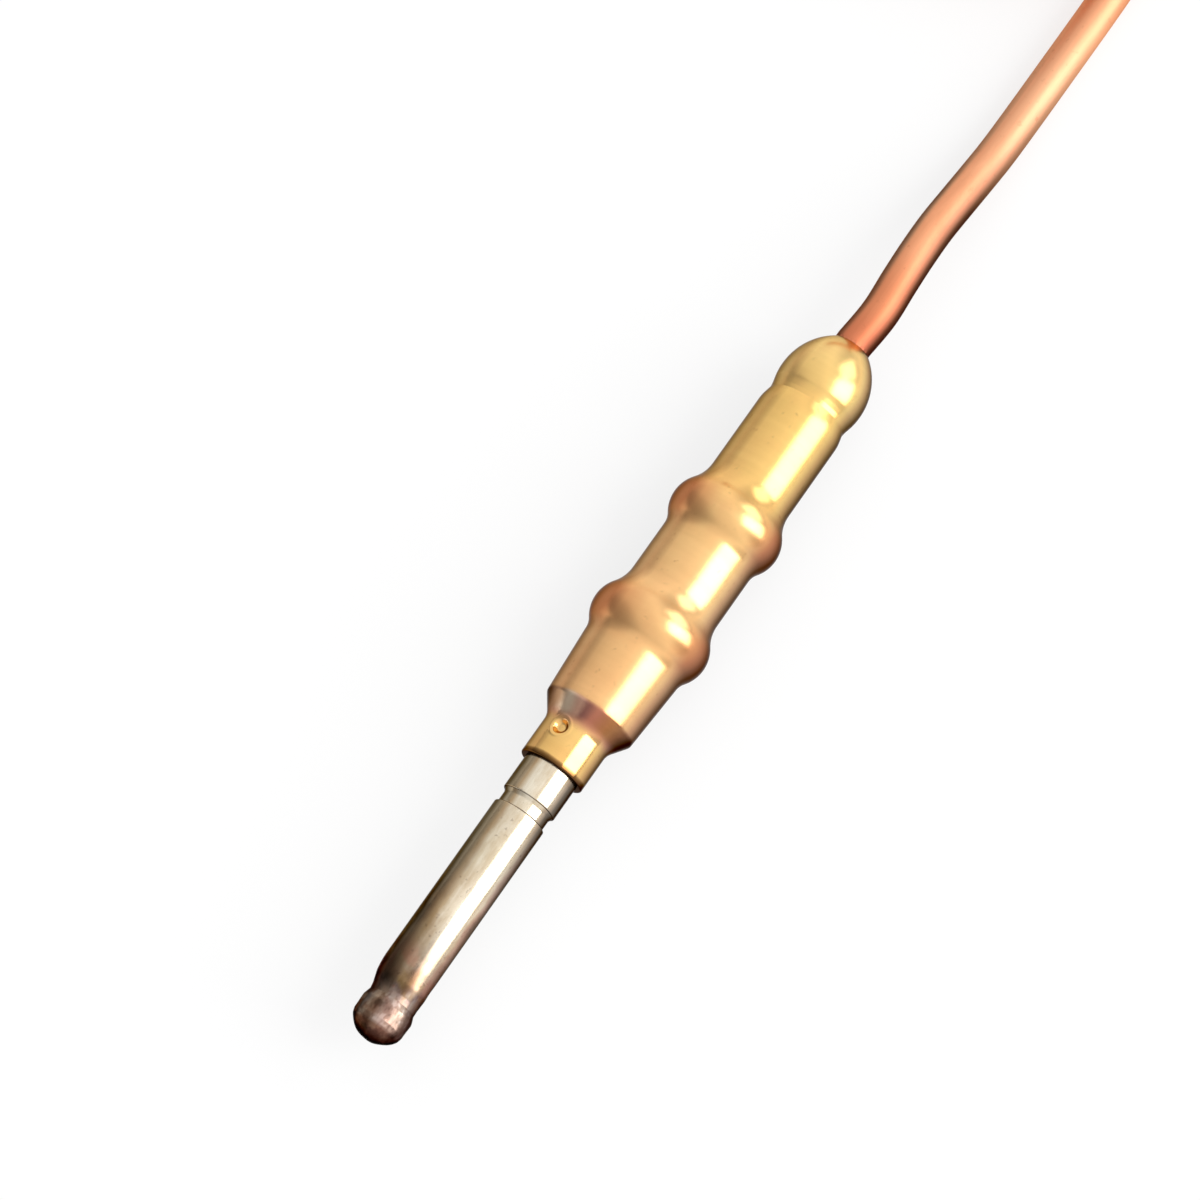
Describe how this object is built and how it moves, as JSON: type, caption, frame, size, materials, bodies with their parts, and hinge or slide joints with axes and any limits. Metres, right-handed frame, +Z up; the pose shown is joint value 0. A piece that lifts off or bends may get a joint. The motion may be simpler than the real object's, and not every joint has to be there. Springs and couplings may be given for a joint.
{
  "type": "thermocouple",
  "caption": "Gas pilot thermocouple: steel probe with welded tip in a beaded brass sleeve, copper lead wound in a tied coil, and a threaded valve nut.",
  "frame": {"origin": "on the surface the part lies on, under the middle of the hot end", "axes": "+X along the hot end from the probe's tip to the lead, +Z up, +Y to the side the coil lies on"},
  "size_m": [0.1647, 0.0422, 0.0104],
  "materials": {
    "heat_marked_steel": "dark, heat-marked weld",
    "steel": "drawn, lightly polished",
    "brass": "bright drawn brass",
    "copper": "satin copper",
    "ceramic": "unglazed ceramic",
    "glass_cloth": "woven sleeving",
    "fibre": "pressed fibre",
    "tin": "tinned",
    "tie_paper": "paper-covered wire"
  },
  "bodies": {
    "thermocouple": {"hot_junction_tip": "heat_marked_steel", "probe_sheath": "steel", "inner_thermoelement": "steel", "insulator_front": "ceramic", "insulator_middle": "ceramic", "insulator_rear": "ceramic", "root_bush": "steel", "mounting_sleeve": "brass", "rear_cap": "brass", "splice_crimp": "copper", "splice_sleeve": "glass_cloth", "lead_core_wire": "copper", "lead_core_cover": "glass_cloth", "lead_inlet_tube": "copper", "lead_run": "copper", "lead_coil": "copper", "lead_tail": "copper", "coil_tie_near": "tie_paper", "coil_tie_far": "tie_paper", "terminal_ferrule": "brass", "terminal_insulator": "fibre", "contact_button": "tin", "terminal_core_wire": "copper"},
    "washer": {"lock_washer": "steel"},
    "nut": {"connection_nut": "brass"}
  },
  "joints": [
    {"name": "nut_slide", "type": "slide", "parent": "thermocouple", "child": "washer", "axis": [-1, 0, 0], "range_m": [0, 0.006]},
    {"name": "nut_spin", "type": "hinge", "parent": "washer", "child": "nut", "pos_m": [0.116, 0, 0.00478], "axis": [1, 0, 0], "continuous": true}
  ]
}
